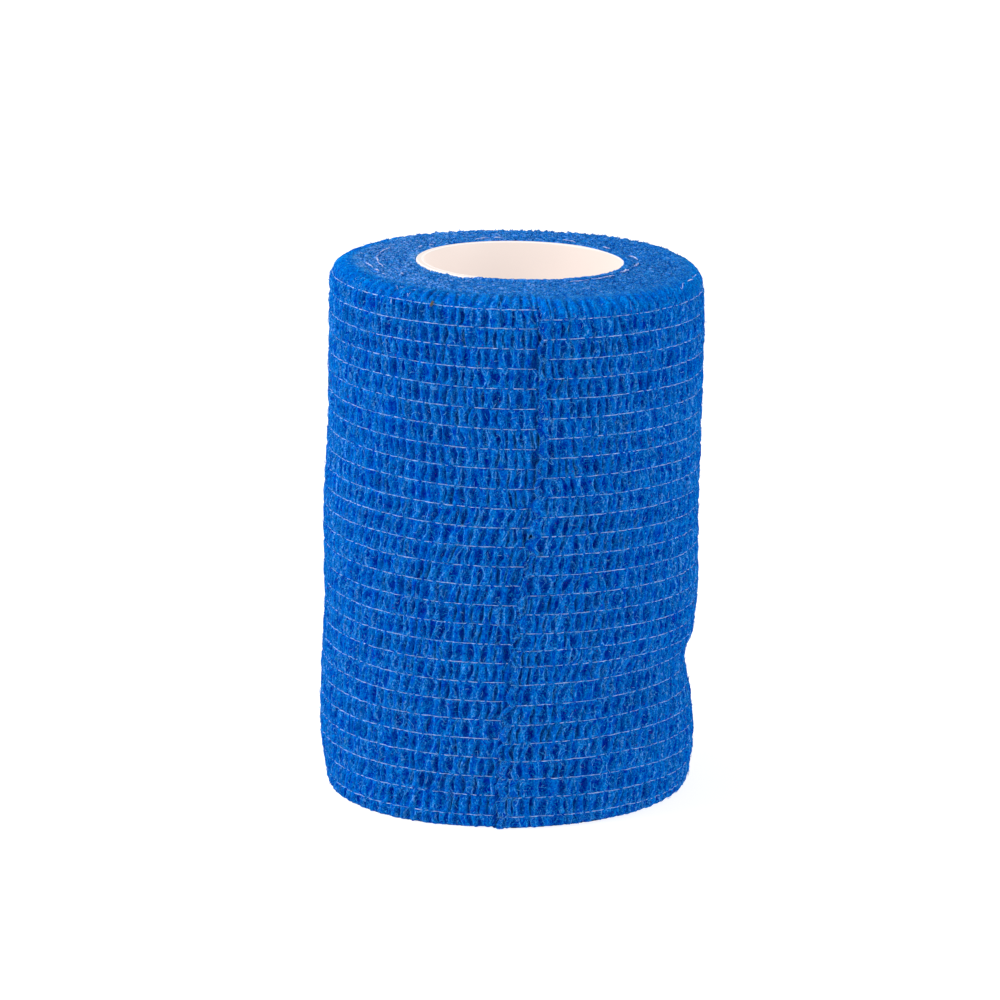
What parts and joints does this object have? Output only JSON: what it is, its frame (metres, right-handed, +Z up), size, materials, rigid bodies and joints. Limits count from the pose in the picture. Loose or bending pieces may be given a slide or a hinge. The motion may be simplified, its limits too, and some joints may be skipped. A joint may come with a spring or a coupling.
{
  "type": "cohesive bandage roll",
  "caption": "Roll of crinkled, self-adhering elastic bandage wound on a short plastic tube, standing on one end, with the cut end of the cloth lying on the turn below.",
  "frame": {"origin": "centre of the roll's outline, on the end face that it stands on", "axes": "+Z up along the roll's axis, -Y to the front, where the cut end of the cloth shows, +X to the right"},
  "size_m": [0.0542, 0.0548, 0.0756],
  "materials": {
    "cohesive_cloth": "crinkled non-woven cloth, dull, with short loose fibres",
    "elastic_thread": "fine pale elastic threads in the cloth",
    "core_plastic": "smooth off-white plastic tube"
  },
  "bodies": {
    "root": {"bandage": "cohesive_cloth", "core": "core_plastic"}
  },
  "joints": []
}
